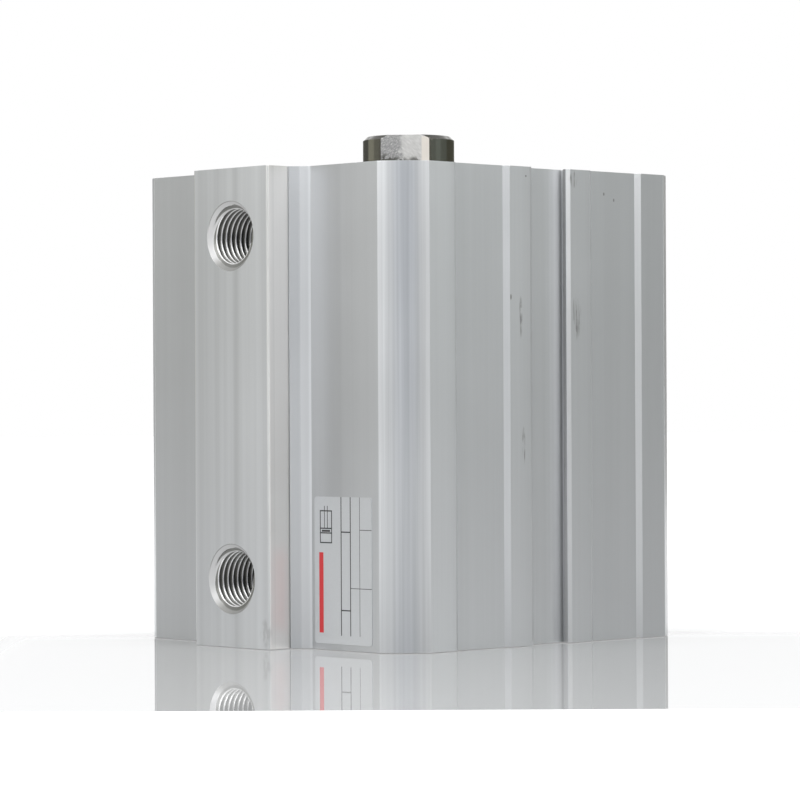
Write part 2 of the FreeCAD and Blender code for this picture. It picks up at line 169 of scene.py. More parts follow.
# %% Helpers for colours
def mix(tree, share, first, second, how="MIX"):
    """Two colours, mixed."""
    return place(tree, "Mix", {0: share, 6: first, 7: second}, data_type="RGBA", blend_type=how).outputs[2]


def grey(level, blue=0.0):
    """An opaque grey, a little bluer where asked."""
    return (level * (1 - blue), level, level * (1 + blue), 1.0)


print("colour helpers ready")

# %% [markdown]
# Marks also need a place. Texture Coordinate gives each point in the piece's own frame, in metres, so a
# mark stays where it is put when the piece moves. An unwrapped image could hold the marks, but it has only
# so many pixels, while measures stay sharp at any distance.

# %% Helpers for places
flattened = (1, 1, 0)
up_axis = (0, 0, 1)


def own_place(tree, stretch=(1, 1, 1)):
    """The point's place in the piece's own frame, in metres, stretched along its axes."""
    spot = place(tree, "TexCoord").outputs["Object"]
    return place(tree, "VectorMath", {0: spot, 1: stretch}, operation="MULTIPLY").outputs[0]


def own_normal(tree):
    """The direction that the surface faces, in the piece's own frame."""
    return place(tree, "TexCoord").outputs["Normal"]


def xyz(tree, vector):
    """A vector's three values."""
    return place(tree, "SeparateXYZ", {0: vector}).outputs


def vector_length(tree, vector):
    """How long a vector is."""
    return place(tree, "VectorMath", {0: vector}, operation="LENGTH").outputs["Value"]


def along_direction(tree, vector, direction):
    """How far a vector goes in a direction."""
    return place(tree, "VectorMath", {0: vector, 1: direction}, operation="DOT_PRODUCT").outputs["Value"]


print("place helpers ready")

# %% [markdown]
# No real surface is quite even, and soft noise is the simplest stand-in for what a tool, a mould or oil has
# left. In three dimensions it makes flecks and patches. Along a single measure it makes lines, such as the
# rings of a lathe.

# %% Helpers for noise
def noise(tree, spot, size, detail=2.0):
    """Soft noise from 0 to 1 with features of that size in metres."""
    return place(tree, "TexNoise", {"Vector": spot, "Scale": 1 / size, "Detail": detail}).outputs["Fac"]


def noise_along(tree, measure, detail=2.0):
    """Soft noise from 0 to 1 along one measure, with features about 1 long."""
    inputs = {"W": measure, "Scale": 1.0, "Detail": detail}
    return place(tree, "TexNoise", inputs, noise_dimensions="1D").outputs["Fac"]


print("noise helpers ready")

# %% [markdown]
# ## Studio: world, floor and soft lights
#
# A white tent surrounds the cylinder. The world could simply glow white, but then it would also flood the
# object with light. Light Path tells rays apart: rays from the camera and rays mirrored by metal see pure
# white, and rays that only gather light see a dimmer sky.

# %% Make the world white to look at and gentle as a light
sky_light = 0.42
scene.view_settings.view_transform = "Standard"
scene.world = bpy.data.worlds.new("white_tent")
scene.world.use_nodes = True
sky = scene.world.node_tree
backdrop = sky.nodes["Background"]


def seen_directly(tree):
    """1 for rays from the camera, from mirrors and through glass, and 0 for rays that gather light."""
    rays = place(tree, "LightPath").outputs
    return any_of(tree, rays["Is Camera Ray"], rays["Is Glossy Ray"], rays["Is Transmission Ray"])


feed(sky, backdrop.inputs["Color"], grey(1.0))
feed(sky, backdrop.inputs["Strength"], by_mask(sky, seen_directly(sky), sky_light, 1.0))
print("world", scene.world.name, "lights at", sky_light)

# %% [markdown]
# The floor is a white sheet with a polished plate let into it, so the foot of the body is mirrored. The
# plate ends a hand's width in front of the body, and the mirror image stops there. It could be a mesh of
# its own, but masks along and across the camera's direction, on one sheet, leave no seam where plate and
# sheet meet.

# %% Tell plate from sheet
plate_front = 187 * MM
plate_back = 20 * MM
plate_half = 72 * MM
front_fade = 1 * MM
back_fade = 60 * MM
side_fade = 40 * MM
to_camera = (math.sin(camera_yaw), -math.cos(camera_yaw), 0)
to_right = (math.cos(camera_yaw), math.sin(camera_yaw), 0)


def sheet_masks(tree):
    """1 on the sheet before and behind the plate, and 1 on the floor at both sides of it."""
    ahead = along_direction(tree, own_place(tree), to_camera)
    before = ramp(tree, ahead, plate_front - front_fade, plate_front + front_fade)
    behind = ramp(tree, ahead, plate_back, plate_back - back_fade)
    across = along_direction(tree, own_place(tree), to_right)
    aside = ramp(tree, reckon(tree, "ABSOLUTE", across), plate_half, plate_half + side_fade)
    return any_of(tree, before, behind), aside


print("plate", round(2 * plate_half / MM), "mm wide, its front", round(plate_front / MM), "mm from the rod")

# %% [markdown]
# In a studio the floor gets more light than the object. Here the sheet glows a little instead, and only for
# rays that see it directly, so the cylinder gets no more light for it. At both sides of the plate only the
# camera sees that glow, because the satin body would mirror it. The plate itself glows mainly for mirrored
# rays, which keeps the foot of the corners open.

# %% Finish of the floor
sheet_white = grey(0.82)
plate_grey = grey(0.55, 0.015)
beside_grey = grey(0.62)
plate_roughness = 0.02
sheet_roughness = 0.8
plate_specular = 0.85
plate_glow = 0.05
mirrored_glow = 0.55
near_glow = 0.35
far_glow = 0.80
glow_reach = (0.15, 0.9)


def floor_glow(tree, matt, aside, dull):
    """How strongly the floor glows, for each kind of ray."""
    rays = place(tree, "LightPath").outputs
    full = ramp(tree, vector_length(tree, own_place(tree)), *glow_reach, near_glow, far_glow)
    sheet = product(tree, seen_directly(tree), by_mask(tree, matt, plate_glow, full))
    beside = product(tree, rays["Is Camera Ray"], aside, full)
    mirrored = product(tree, rays["Is Glossy Ray"], by_mask(tree, dull, mirrored_glow, 0.0))
    return any_of(tree, sheet, beside, mirrored)


def floor_finish():
    """White, with a polished plate in the middle."""
    finish, tree, shader = new_finish("white_floor", {"Emission Color": grey(1.0)})
    matt, aside = sheet_masks(tree)
    dull = any_of(tree, matt, aside)
    polished = mix(tree, aside, plate_grey, beside_grey)
    feed(tree, shader.inputs["Base Color"], mix(tree, matt, polished, sheet_white))
    feed(tree, shader.inputs["Roughness"], by_mask(tree, dull, plate_roughness, sheet_roughness))
    feed(tree, shader.inputs["Specular IOR Level"], by_mask(tree, dull, plate_specular, 0.0))
    feed(tree, shader.inputs["Emission Strength"], floor_glow(tree, matt, aside, dull))
    return finish


floor_white = floor_finish()
print("floor finish", floor_white.name)

# %% [markdown]
# The sheet itself is a single large square, a hair below the body so that the two never share a plane. A
# plane from Blender's menu would do as well.

# %% Lay the floor
floor_half = 4.0
floor_drop = 0.18 * MM
square = ((-1, -1), (1, -1), (1, 1), (-1, 1))


def plain_object(name, points, faces, finish):
    """A mesh object in the scene with one material."""
    mesh = bpy.data.meshes.new(name)
    mesh.from_pydata(points, [], faces)
    mesh.materials.append(finish)
    thing = bpy.data.objects.new(name, mesh)
    scene.collection.objects.link(thing)
    return thing


floor_corners = [(x * floor_half, y * floor_half, -floor_drop) for x, y in square]
floor = plain_object("floor", floor_corners, [(0, 1, 2, 3)], floor_white)
print("floor", 2 * floor_half, "m wide")

# %% [markdown]
# Two large soft boxes stand high to the left and right of the camera, one hangs above, and weak ones in
# front and behind keep the near corner and the far edges open. Bare lamps would draw hard shadows. Light
# from high up reaches the satin body from every side, while polished metal, which mirrors only what stands
# at eye level, stays dark.

# %% Hang the soft boxes
body_middle = Vector((0, 0, 50 * MM))


def around(bearing, reach, height):
    """A point at that bearing, in degrees to the right of the camera, seen from the rod axis."""
    angle = camera_yaw + math.radians(bearing)
    return Vector((math.sin(angle) * reach, -math.cos(angle) * reach, height))


def soft_box(name, bearing, reach, height, size, glow):
    """A square light turned towards the body."""
    lamp = bpy.data.lights.new(name, "AREA")
    lamp.shape = "SQUARE"
    lamp.size = size
    lamp.energy = glow * math.pi * size ** 2
    box = bpy.data.objects.new(name, lamp)
    scene.collection.objects.link(box)
    box.location = around(bearing, reach, height)
    box.rotation_euler = (body_middle - box.location).to_track_quat("-Z", "Y").to_euler()
    box.visible_camera = False
    return box


boxes = [
    # bearing in degrees, then reach, height and size in metres, and how brightly it glows
    soft_box("front_box", 0, 0.30, 0.38, 0.16, 1.4),
    soft_box("left_box", -44, 0.44, 0.33, 0.30, 5.8),
    soft_box("right_box", 40, 0.44, 0.33, 0.30, 5.5),
    soft_box("top_box", 0, 0.05, 0.95, 0.60, 0.7),
    soft_box("back_box", 180, 0.50, 0.40, 0.55, 0.85),
]
print("lights:", [box.name for box in boxes])

# %% [markdown]
# Dark cards stand around the table at eye level, as a photographer sets them to give polished metal
# contrast. A bluish card behind the camera tints the facets that face it, a grey one on the left makes the
# light band in the rod, and a pale one hangs at the back, so that the milled end face stays grey. A dark
# world would do the same to every surface, but cards act on mirrored rays alone: they are hidden from the
# camera and keep no light off the floor.

# %% Choose the cards
cards = (
    # first and last bearing in degrees, height of the foot in metres, colour
    ("right_card", 14, 58, 0.0, (0.105, 0.105, 0.083)),
    ("right_near_card", 58, 72, 0.0, (0.17, 0.185, 0.165)),
    ("right_band_card", 72, 92, 0.0, (0.24, 0.265, 0.245)),
    ("right_past_card", 92, 112, 0.0, (0.17, 0.185, 0.165)),
    ("far_right_card", 112, 165, 0.0, (0.105, 0.105, 0.083)),
    ("front_card", -14, 14, 0.0, (0.15, 0.20, 0.29)),
    ("left_card", -80, -14, 0.0, (0.15, 0.15, 0.14)),
    ("left_edge_card", -98, -80, 0.0, (0.24, 0.24, 0.21)),
    ("band_card", -122, -98, 0.0, (0.40, 0.40, 0.34)),
    ("far_left_card", -165, -122, 0.0, (0.13, 0.13, 0.12)),
    ("back_card", 165, 195, 0.16, (0.50, 0.50, 0.49)),
)
print("cards:", [card[0] for card in cards])

# %% [markdown]
# Each card is a strip that bends around the table, made from a row of upright quads. A flat plane would do
# for a narrow card, but wide ones would stand nearer in the middle than at their ends. The cards glow by
# themselves, so that no lamp changes their colour.

# %% Stand cards around the table
card_reach = 1.0
card_top = 0.62
card_steps = 12


def card_finish(name, colour):
    """An even glow that keeps its colour under any lamp."""
    dark = {"Base Color": grey(0.0), "Specular IOR Level": 0.0}
    glowing = {"Emission Color": (*colour, 1), "Emission Strength": 1.0}
    return new_finish(name, {**dark, **glowing})[0]


def stand_card(name, first, last, foot, colour):
    """An upright strip that bends around the table."""
    bearings = [first + (last - first) * step / card_steps for step in range(card_steps + 1)]
    points = [around(bearing, card_reach, level) for bearing in bearings for level in (foot, card_top)]
    faces = [(2 * step, 2 * step + 2, 2 * step + 3, 2 * step + 1) for step in range(card_steps)]
    card = plain_object(name, points, faces, card_finish(name, colour))
    card.visible_camera = False
    card.visible_diffuse = False
    card.visible_shadow = False


for card in cards:
    stand_card(*card)
print("stood", len(cards), "cards at", card_reach, "m")

# %% [markdown]
# ## Shared effects
#
# Some marks of manufacture turn up on several pieces. Each is a node group, built once and placed in every
# finish that needs it with its own values. Copies of the nodes in each material would look the same, but
# then a change would have to be made in every copy.

# %% Helpers for node groups
def new_group(name, inputs, outputs):
    """An empty node group, with its sockets; inputs map a name to its default number."""
    tree = bpy.data.node_groups.new(name, "ShaderNodeTree")
    for label, default in inputs.items():
        socket = tree.interface.new_socket(name=label, in_out="INPUT", socket_type="NodeSocketFloat")
        socket.default_value = default
    for label, kind in outputs.items():
        tree.interface.new_socket(name=label, in_out="OUTPUT", socket_type="NodeSocket" + kind)
    return tree, tree.nodes.new("NodeGroupInput").outputs, tree.nodes.new("NodeGroupOutput").inputs


def use_group(tree, group, **values):
    """Places a node group in a material and returns its outputs."""
    node = tree.nodes.new("ShaderNodeGroup")
    node.node_tree = group
    for label, value in values.items():
        feed(tree, node.inputs[label], value)
    return node.outputs


print("group helpers ready")

# %% [markdown]
# The first effect softens edges: real metal is deburred, so every edge catches a thin line of light. A
# Bevel modifier could cut that into the mesh, but the Bevel node bends only the shading, which is enough
# for a tenth of a millimetre.

# %% Effect: softened edges
edge_samples = 6
soft_edge, given, result = new_group("soft_edge", {"Radius": 0.15 * MM}, {"Normal": "Vector"})
rounded = place(soft_edge, "Bevel", {"Radius": given["Radius"]}, samples=edge_samples)
feed(soft_edge, result["Normal"], rounded.outputs["Normal"])
print("group", soft_edge.name)

# %% [markdown]
# A lathe leaves fine rings. All turned pieces share the rod axis, so the distance from that axis plus the
# height gives rings on flat faces, cones and cylinders alike. One-dimensional noise along it is less
# regular than a sine wave, as a worn tool is.

# %% Effect: turning marks
turning_marks, given, result = new_group("turning_marks", {"Spacing": 0.2 * MM}, {"Ring": "Float"})
from_axis = vector_length(turning_marks, own_place(turning_marks, flattened))
height = xyz(turning_marks, own_place(turning_marks))["Z"]
travel = reckon(turning_marks, "ADD", from_axis, height)
travel = reckon(turning_marks, "DIVIDE", travel, given["Spacing"])
feed(turning_marks, result["Ring"], noise_along(turning_marks, travel, 3.0))
print("group", turning_marks.name)

# %% [markdown]
# Grain is the fine roughness of moulded rubber, phosphated steel and cast plastic. Handling is the opposite
# in scale: broad, faint patches where oil and fingers have changed the gloss. Both are soft noise at a size
# that the finish chooses, which needs no picture of the surface.

# %% Effects: grain and handling
patch_levels = (0.35, 0.7)


def in_units(tree, size):
    """The point's own place, counted in units of that size."""
    scale = reckon(tree, "DIVIDE", 1.0, size)
    return place(tree, "VectorMath", {0: own_place(tree), "Scale": scale}, operation="SCALE").outputs[0]


grain, given, result = new_group("grain", {"Size": 0.2 * MM}, {"Fleck": "Float"})
feed(grain, result["Fleck"], noise(grain, in_units(grain, given["Size"]), 1.0))

handling, given, result = new_group("handling", {"Size": 20 * MM}, {"Patch": "Float"})
blot = noise(handling, in_units(handling, given["Size"]), 1.0, 4.0)
feed(handling, result["Patch"], ramp(handling, blot, *patch_levels))
print("groups", grain.name, handling.name)

# %% [markdown]
# ## Finishes
#
# Each finish is one Principled shader. Plain values sit on its own sockets, and only what changes over the
# surface is linked. Three steps turn up in nearly every finish: noise that makes a value swing, a colour
# that grows lighter or darker, and marks that are felt as well as seen. For the last, displacing the mesh
# would need millions of faces, while a Bump node bends the light over marks of a few thousandths of a
# millimetre.

# %% Helpers for finishes
def swing(tree, value, amount, middle=1.0):
    """Noise from 0 to 1, turned into a factor around a middle value."""
    return reckon(tree, "MULTIPLY_ADD", value, amount, middle - amount / 2)


def tinted(tree, colour, factor):
    """A colour, brightened or darkened by a factor."""
    return place(tree, "VectorMath", {0: colour[:3], "Scale": factor}, operation="SCALE").outputs[0]


def rough_normal(tree, shader, height, depth, edge_normal):
    """Feeds the shader a bumped normal; depth is the real height of the marks in metres."""
    bump = place(tree, "Bump", {"Height": height, "Distance": depth, "Normal": edge_normal})
    feed(tree, shader.inputs["Normal"], bump.outputs["Normal"])


finishes = {}
print("ready for finishes")

# %% [markdown]
# ### Anodised extrusion
#
# The body is pushed through a die, so its sides carry long straight lines along the rod axis, and it is
# then etched and clear anodised to an even satin grey. A stretched image could show such lines on one side,
# but noise that is squeezed along Z gives them on every side at once. The port face and the corner next to
# it are streaked more than the rest.

# %% Lines of the die
line_stretch = (1, 1, 0.008)
boss_front = -50 * MM
corner_crease = 78.2 * MM
# size of the features in metres, detail of the noise, swing of the brightness
broad_bands = (9 * MM, 1.0, 0.08)
drawn_lines = (1.3 * MM, 2.0, 0.06)
hair_lines = (0.25 * MM, 2.0, 0.04)
boss_streaks = (3.2 * MM, 3.0, 0.48)
corner_streaks = (0.7 * MM, 2.0, 0.45)


def drawn(tree, lines):
    """A brightness factor that hardly changes along the extrusion."""
    size, detail, amount = lines
    return swing(tree, noise(tree, own_place(tree, line_stretch), size, detail), amount)


def port_corner(tree, spot):
    """1 on the crowned corner between the port side and the right side."""
    diagonal = reckon(tree, "SUBTRACT", spot["X"], spot["Y"])
    return reckon(tree, "GREATER_THAN", diagonal, corner_crease)


def die_lines(tree):
    """The brightness that the die gives to the sides, and its hair lines alone."""
    spot = xyz(tree, own_place(tree))
    on_boss = reckon(tree, "LESS_THAN", spot["Y"], boss_front)
    boss = by_mask(tree, on_boss, 1.0, drawn(tree, boss_streaks))
    corner = by_mask(tree, port_corner(tree, spot), 1.0, drawn(tree, corner_streaks))
    hairs = drawn(tree, hair_lines)
    tone = product(tree, drawn(tree, broad_bands), boss, corner, drawn(tree, drawn_lines), hairs)
    return tone, hairs


print("die lines ready")

# %% [markdown]
# The end faces are milled after the extrusion is cut to length, so they show arcs instead of lines. The
# mill's centre passes outside the body, and noise along the distance from there gives arcs that all bend
# the same way. A Wave texture in rings would be too even for a hand-fed cut.

# %% Arcs of the mill
mill_centre = (-0.035, 0.120, 0)
arc_spacing = 0.3 * MM
end_facing = (0.9, 0.98)


def mill_arcs(tree):
    """Arcs of a face mill, as noise along the distance from its centre."""
    offset = place(tree, "VectorMath", {0: own_place(tree), 1: mill_centre}, operation="DISTANCE")
    return noise_along(tree, reckon(tree, "DIVIDE", offset.outputs["Value"], arc_spacing))


def end_faces(tree):
    """1 on faces that look along the rod axis."""
    facing = xyz(tree, own_normal(tree))["Z"]
    return ramp(tree, reckon(tree, "ABSOLUTE", facing), *end_facing)


print("mill arcs ready, spaced", round(arc_spacing / MM, 2), "mm")

# %% [markdown]
# Bands across the profile carry painted light and shade. The port side and the right side grow brighter
# towards the corner between them, and the feet of the port boss are brighter at their outer ends. The
# crowned corner is darker in its middle than at its ends, and the slot floor is painted lighter beside the
# far lip, against the shade of that lip. The rounded corners carry a painted highlight, and the sides grow
# lighter towards the rod end, as painted light from above. A painted image could hold such bands, but a few
# pairs of a place and a factor say the same and stay sharp at any distance.

# %% Bands of painted light and shade
# pairs of a place across the side, in millimetres, and the painted brightness there
port_shading_bands = ((-14, 0.89), (-11.5, 0.97), (0, 1.035), (11.5, 1.13), (14, 0.90), (17, 0.91),
              (21, 0.86), (24, 0.86), (25, 0.91), (36, 1.02))
right_shading_bands = ((-30, 1.08), (-27, 0.97), (-13, 0.97), (-11, 1.0), (-6, 0.95), (0.5, 0.94), (1.9, 1.0),
               (2.9, 1.13), (4.2, 1.33), (5.2, 1.33), (6, 0.92), (8, 0.92), (20, 0.87), (32, 0.83))
corner_shading_bands = ((-7, 1.06), (-5, 1.0), (-2, 0.91), (1, 0.83), (3.4, 0.85), (5, 0.94), (6.6, 1.0))
foot_shading_bands = ((12.1, 0.91), (13.2, 0.91), (13.6, 1.02), (14.7, 1.03), (15.0, 1.15))
# a painted highlight on the rounded corners
corner_highlight = 1.35


def banded(tree, across, bands):
    """A brightness that passes through the bands with soft steps."""
    tone = bands[0][1]
    for (start, before), (end, after) in zip(bands, bands[1:]):
        tone = reckon(tree, "ADD", tone, ramp(tree, across, start * MM, end * MM, 0.0, after - before))
    return tone


print("bands:", len(port_shading_bands), len(right_shading_bands), len(corner_shading_bands), len(foot_shading_bands))

# %% [markdown]
# Each set of bands belongs to one side. The sides could be separate material slots, but the body is one
# solid without a seam, so the direction that a face looks in, and its place, tell the sides apart.

# %% Lay the bands on their sides
# each pair is where a mask starts and where it is full
port_facing = (-0.95, -0.98)
right_facing = (0.95, 0.98)
right_of_bore = (20 * MM, 30 * MM)
slope_start = (-0.45, -0.5)
slope_end = (-0.9, -0.85)
panel_plane = -42.92 * MM
# painted light: the sides are darker at the foot and lighter towards the rod end
painted_shade_at_foot = 0.865
painted_light_per_metre = 2.7


def banded_sides(tree, spot):
    """Masks of the port side, the right side and the sloped feet of the port boss."""
    normal = xyz(tree, own_normal(tree))
    port_side = ramp(tree, normal["Y"], *port_facing)
    right_side = product(tree, ramp(tree, normal["X"], *right_facing), ramp(tree, spot["X"], *right_of_bore))
    sloped = product(tree, ramp(tree, normal["Y"], *slope_start), ramp(tree, normal["Y"], *slope_end))
    feet = product(tree, sloped, reckon(tree, "LESS_THAN", spot["Y"], panel_plane))
    return port_side, right_side, feet


def painted_light_and_shade(tree):
    """Painted light and shade on the sides: the bands, highlights on the rounded corners, and more light
    towards the rod end.
    """
    spot = xyz(tree, own_place(tree))
    aside = reckon(tree, "ABSOLUTE", spot["X"])
    outwards = reckon(tree, "ADD", aside, reckon(tree, "ABSOLUTE", spot["Y"]))
    corners = reckon(tree, "GREATER_THAN", outwards, corner_crease)
    around_corner = reckon(tree, "ADD", spot["X"], spot["Y"])
    port_side, right_side, feet = banded_sides(tree, spot)
    tone = by_mask(tree, port_side, 1.0, banded(tree, spot["X"], port_shading_bands))
    tone = by_mask(tree, right_side, tone, banded(tree, spot["Y"], right_shading_bands))
    tone = by_mask(tree, feet, tone, banded(tree, aside, foot_shading_bands))
    tone = by_mask(tree, corners, tone, corner_highlight)
    tone = by_mask(tree, port_corner(tree, spot), tone, banded(tree, around_corner, corner_shading_bands))
    return product(tree, tone, reckon(tree, "MULTIPLY_ADD", spot["Z"], painted_light_per_metre, painted_shade_at_foot))


print("etch rises from", painted_shade_at_foot, "at the foot")

# %% [markdown]
# Where the cylinder has been clamped and handled there are a few scuffs on the rails, small nicks and a
# smudge. They could be painted by hand in Texture Paint, but that makes an image. Here each is an ellipse
# in the plane of its side, broken up by noise so that it has no clean outline.

# %% Elliptic marks
# across, height, half width and half height in millimetres
scuffs = ((-9.0, 68.5, 0.6, 4.8), (-8.3, 41.6, 0.6, 4.6),
          (7.9, 68.8, 1.6, 5.4), (7.2, 97.9, 1.5, 2.0))
nicks = ((17.4, 95.2, 0.32, 0.42), (20.5, 94.0, 0.30, 0.42),
         (-7.3, 98.0, 0.30, 0.25), (-11.9, 72.7, 0.28, 0.7))
smudge = (10.4, 3.2, 1.8, 3.4)
mark_fade = (1.0, 0.3)


def spot_mask(tree, across, height, mark):
    """1 in the middle of an elliptic mark and 0 outside it."""
    left, level, half_width, half_height = (size * MM for size in mark)
    aside = reckon(tree, "DIVIDE", reckon(tree, "SUBTRACT", across, left), half_width)
    above = reckon(tree, "DIVIDE", reckon(tree, "SUBTRACT", height, level), half_height)
    away = reckon(tree, "ADD", reckon(tree, "POWER", aside, 2.0), reckon(tree, "POWER", above, 2.0))
    return ramp(tree, away, *mark_fade)


def any_mark(tree, across, height, marks):
    """1 in the middle of each of several marks."""
    return any_of(tree, *[spot_mask(tree, across, height, mark) for mark in marks])


print("marks:", len(scuffs) + len(nicks) + 1)

# %% [markdown]
# A scuff is a bundle of fine scratches along the rail, so two noises cut it up: one squeezed into streaks
# and one that breaks them. The smudge is soft, so only the second noise touches it, and nicks are too small
# for either.

# %% Marks of use
right_face = 41 * MM
port_face = -51 * MM
smudge_strength = 0.45
streak_stretch = (1, 1, 0.03)
streak_levels = (0.36, 0.58)
break_stretch = (1, 1, 0.4)
break_levels = (0.35, 0.62)


def marks_of_use(tree):
    """Scuffs and nicks on the right side and a smudge on the port face, as one mask."""
    spot = xyz(tree, own_place(tree))
    streaks = ramp(tree, noise(tree, own_place(tree, streak_stretch), 0.4 * MM), *streak_levels)
    broken = ramp(tree, noise(tree, own_place(tree, break_stretch), 1.1 * MM, 4.0), *break_levels)
    scuffed = product(tree, any_mark(tree, spot["Y"], spot["Z"], scuffs), streaks, broken)
    nicked = any_mark(tree, spot["Y"], spot["Z"], nicks)
    right_side = reckon(tree, "GREATER_THAN", spot["X"], right_face)
    on_right = product(tree, right_side, any_of(tree, scuffed, nicked))
    port_side = reckon(tree, "LESS_THAN", spot["Y"], port_face)
    smudged = spot_mask(tree, spot["X"], spot["Z"], smudge)
    return any_of(tree, on_right, product(tree, smudged, port_side, broken, smudge_strength))


print("marks of use ready")

# %% [markdown]
# Three more places carry painted light and shade. The slots are painted darker as shade, less so towards
# the foot. The long edges of the port face carry a painted highlight, most of all near the rod end. The
# walls beside the port face carry painted bounce light, warmer and stronger towards the foot. Vertex paint
# would need points where each patch begins, so measures are used here too.

# %% Painted shade in the slots, highlights on the edges and bounce light on the boss walls
# each pair is where a mask starts and where it is full
inward_facing = (-0.02, -0.10)
edge_across = (11.2 * MM, 11.45 * MM)
edge_depth = (-51.25 * MM, -51.4 * MM)
edge_height = (10 * MM, 80 * MM)
edge_at_foot = 0.25
wall_across = (11.65 * MM, 11.75 * MM)
wall_depth = (-46.1 * MM, -46.2 * MM)


def turned_inwards(tree):
    """1 on faces that look towards the rod axis, such as the walls and undercuts of the slots."""
    outwards = place(tree, "VectorMath", {0: own_place(tree, flattened)}, operation="NORMALIZE").outputs[0]
    return ramp(tree, along_direction(tree, own_normal(tree), outwards), *inward_facing)


def edge_highlights(tree):
    """1 on the rounded long edges of the port face, where a highlight is painted."""
    spot = xyz(tree, own_place(tree))
    edge = ramp(tree, reckon(tree, "ABSOLUTE", spot["X"]), *edge_across)
    rising = ramp(tree, spot["Z"], *edge_height, edge_at_foot, 1.0)
    return product(tree, edge, rising, ramp(tree, spot["Y"], *edge_depth))


def boss_walls(tree):
    """1 on the walls at both sides of the port face."""
    spot = xyz(tree, own_place(tree))
    wall = ramp(tree, reckon(tree, "ABSOLUTE", spot["X"]), *wall_across)
    return product(tree, wall, ramp(tree, spot["Y"], *wall_depth))


# the painted edge highlights start this far from the middle of the port face
print("rubbed edges start", round(edge_across[0] / MM, 2), "mm from the middle of the port face")

# %% [markdown]
# The colour of the sides is built up in layers, from the plain grey with its painted light and shade to
# what lies on top: painted bounce light on the walls, painted highlights on the edges, painted shade in the
# slots, and the marks of use. Each layer could be a Mix Shader, but mixing colours keeps one shader, which
# renders faster and can be exported.

# %% Colour of the sides
body_grey = grey(0.57, 0.022)
# painted shade in the slots, and also the colour of the real marks of use
mark_and_shade_grey = grey(0.29)
# a lighter painted shade, low in the slots
slot_shade_at_foot = grey(0.44)
# a painted highlight on the long edges of the port face
edge_highlight_grey = (0.70, 0.70, 0.685, 1)
# painted bounce light on the walls beside the port face, stronger towards the foot
painted_wall_bounce = (1.22, 1.18, 1.13, 1)
bounce_at_foot = 1.15
bounce_height = 40 * MM
slot_shade_fade = (70 * MM, 10 * MM)


def side_colour(tree, tone):
    """The colour of the sides, with painted light and shade and with the marks of use."""
    height = xyz(tree, own_place(tree))["Z"]
    sides = tinted(tree, body_grey, product(tree, tone, painted_light_and_shade(tree)))
    wall_bounce = tinted(tree, painted_wall_bounce, ramp(tree, height, bounce_height, 0.0, 1.0, bounce_at_foot))
    sides = mix(tree, boss_walls(tree), sides, wall_bounce, "MULTIPLY")
    sides = mix(tree, edge_highlights(tree), sides, edge_highlight_grey)
    slots = mix(tree, ramp(tree, height, *slot_shade_fade), mark_and_shade_grey, slot_shade_at_foot)
    sides = mix(tree, turned_inwards(tree), sides, slots)
    return mix(tree, marks_of_use(tree), sides, mark_and_shade_grey)


print("side colours ready")

# %% [markdown]
# Now all of it comes together in one finish. Bare aluminium would mirror the room as chrome does, and paint
# would not mirror it at all. The clear anodised skin lies between, so the shader is only part metallic and
# fairly rough. The milled ends are laid over the sides last.

# %% Anodised body
end_grey = grey(0.42)
satin_roughness = 0.31
end_roughness = 0.3
line_depth = 4e-6


def anodised_body():
    """Satin anodised extrusion with milled ends."""
    finish, tree, shader = new_finish("anodised_body", {"Metallic": 0.60})
    tone, hairs = die_lines(tree)
    arcs = mill_arcs(tree)
    ends = end_faces(tree)
    milled = tinted(tree, end_grey, swing(tree, arcs, 0.2))
    feed(tree, shader.inputs["Base Color"], mix(tree, ends, side_colour(tree, tone), milled))
    patch = use_group(tree, handling, Size=30 * MM)["Patch"]
    satin = swing(tree, patch, 0.04, satin_roughness)
    feed(tree, shader.inputs["Roughness"], by_mask(tree, ends, satin, end_roughness))
    edges = use_group(tree, soft_edge, Radius=0.1 * MM)
    rough_normal(tree, shader, mix(tree, ends, hairs, arcs), line_depth, edges["Normal"])
    return finish


finishes["anodised_body"] = anodised_body()
print("finish", finishes["anodised_body"].name)

# %% [markdown]
# ### Turned metal
#
# Covers and piston are turned from bright aluminium bar, the rod bush from bronze and the piston screw from
# blackened steel. One function makes all three, because they differ only in colour, gloss and the spacing
# of their rings.

# %% Turned aluminium, bronze and steel
def turned_metal(name, colour, roughness, spacing, depth):
    """Bare metal with turning marks."""
    finish, tree, shader = new_finish(name, {"Metallic": 1.0})
    ring = use_group(tree, turning_marks, Spacing=spacing)["Ring"]
    patch = use_group(tree, handling, Size=15 * MM)["Patch"]
    edges = use_group(tree, soft_edge, Radius=0.12 * MM)
    feed(tree, shader.inputs["Base Color"], tinted(tree, colour, swing(tree, ring, 0.25)))
    feed(tree, shader.inputs["Roughness"], swing(tree, patch, 0.1, roughness))
    rough_normal(tree, shader, ring, depth, edges["Normal"])
    return finish


bronze = (0.50, 0.31, 0.14, 1)
finishes["turned_aluminium"] = turned_metal("turned_aluminium", grey(0.62), 0.30, 0.25 * MM, 3e-6)
finishes["bearing_bronze"] = turned_metal("bearing_bronze", bronze, 0.42, 0.3 * MM, 2e-6)
finishes["screw_steel"] = turned_metal("screw_steel", grey(0.06), 0.38, 0.3 * MM, 2e-6)
print("finishes so far:", sorted(finishes))

# %% [markdown]
# ### Cut threads
#
# The threads are cut into the body and the rod, so they show bare metal. Their crests are painted light, as
# a painted highlight, and their flanks dark, as painted shade, with dark flecks of grain. The countersink at
# the mouth has painted shade at its foot and under its upper rim. Crests, flanks and countersink could be
# three material slots, but their distance from the thread's axis tells them apart.

# %% Colours of a cut thread
# painted shade in the flanks and in the countersink
thread_shade_grey = (0.185, 0.187, 0.175, 1)
